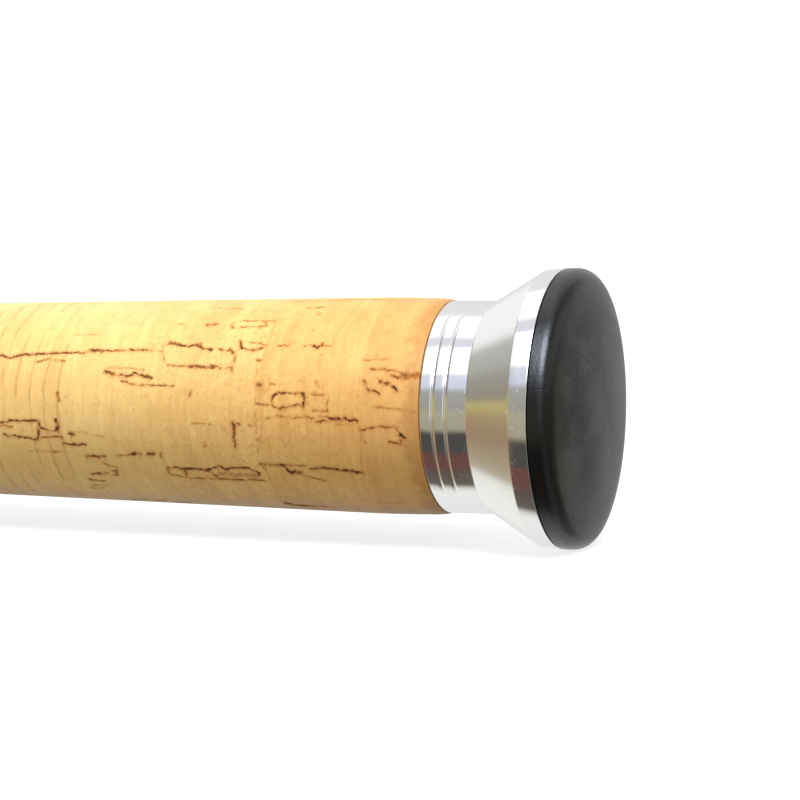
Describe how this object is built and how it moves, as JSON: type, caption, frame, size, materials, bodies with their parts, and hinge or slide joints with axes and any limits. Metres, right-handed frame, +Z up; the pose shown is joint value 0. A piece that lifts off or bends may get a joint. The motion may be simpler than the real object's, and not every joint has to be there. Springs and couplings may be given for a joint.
{
  "type": "jigging rod",
  "caption": "One-piece spinning-type jigging rod with cork grips, a turned metal butt collar, a rubber butt pad, a screw-locking reel seat and ceramic-ringed guides.",
  "frame": {"origin": "middle of the bounding box's base, on the flat surface that the rod lies on", "axes": "+X from the tip to the butt along the surface, +Z up from the surface; the guides point towards -Y, 10 degrees above the surface, as the rod comes to rest on its butt pad, first guide and tip top"},
  "size_m": [1.5982, 0.0666, 0.0325],
  "materials": {
    "rubber": "matte",
    "aluminium": "polished",
    "cork": "matte",
    "graphite": "satin",
    "carbon": "gloss",
    "polished_steel": "polished",
    "ceramic": "gloss",
    "thread": "gloss"
  },
  "bodies": {
    "rod": {"butt_pad": "rubber", "butt_collar": "aluminium", "rear_grip": "cork", "seat_ring": "aluminium", "reel_seat": "graphite", "rear_arbor": "graphite", "front_arbor": "graphite", "fixed_hood": "graphite", "foregrip": "cork", "winding_check": "aluminium", "grip_wrap": "thread", "blank": "carbon", "keeper_foot": "polished_steel", "keeper_wrap": "thread", "stripper_guide_frame": "polished_steel", "stripper_guide_ring": "ceramic", "stripper_guide_rear_wrap": "thread", "stripper_guide_front_wrap": "thread", "second_guide_frame": "polished_steel", "second_guide_ring": "ceramic", "second_guide_rear_wrap": "thread", "second_guide_front_wrap": "thread", "third_guide_frame": "polished_steel", "third_guide_ring": "ceramic", "third_guide_rear_wrap": "thread", "third_guide_front_wrap": "thread", "fourth_guide_frame": "polished_steel", "fourth_guide_ring": "ceramic", "fourth_guide_wrap": "thread", "fifth_guide_frame": "polished_steel", "fifth_guide_ring": "ceramic", "fifth_guide_wrap": "thread", "sixth_guide_frame": "polished_steel", "sixth_guide_ring": "ceramic", "sixth_guide_wrap": "thread", "tip_top_frame": "polished_steel", "tip_top_ring": "ceramic", "tip_top_wrap": "thread"},
    "hood": {"sliding_hood": "graphite", "slip_washer": "graphite"},
    "nut": {"lock_nut": "aluminium"},
    "keeper": {"keeper_ring": "polished_steel"}
  },
  "joints": [
    {"name": "hood_slide", "type": "slide", "parent": "rod", "child": "hood", "axis": [1, 0, 0.008], "range_m": [0, 0.02]},
    {"name": "nut_turn", "type": "hinge", "parent": "hood", "child": "nut", "pos_m": [0.38448, 0.01733, 0.01272], "axis": [1, 0, 0.008], "range_deg": [0, 2880]},
    {"name": "keeper_swing", "type": "hinge", "parent": "rod", "child": "keeper", "pos_m": [0.17838, 0.01106, 0.01218], "axis": [-0.0079, 0.1729, 0.9849], "range_deg": [0, 150]}
  ],
  "couplings": [
    {"joint": "hood_slide", "follows": "nut_turn", "m_per_rad": 0.00039788}
  ]
}
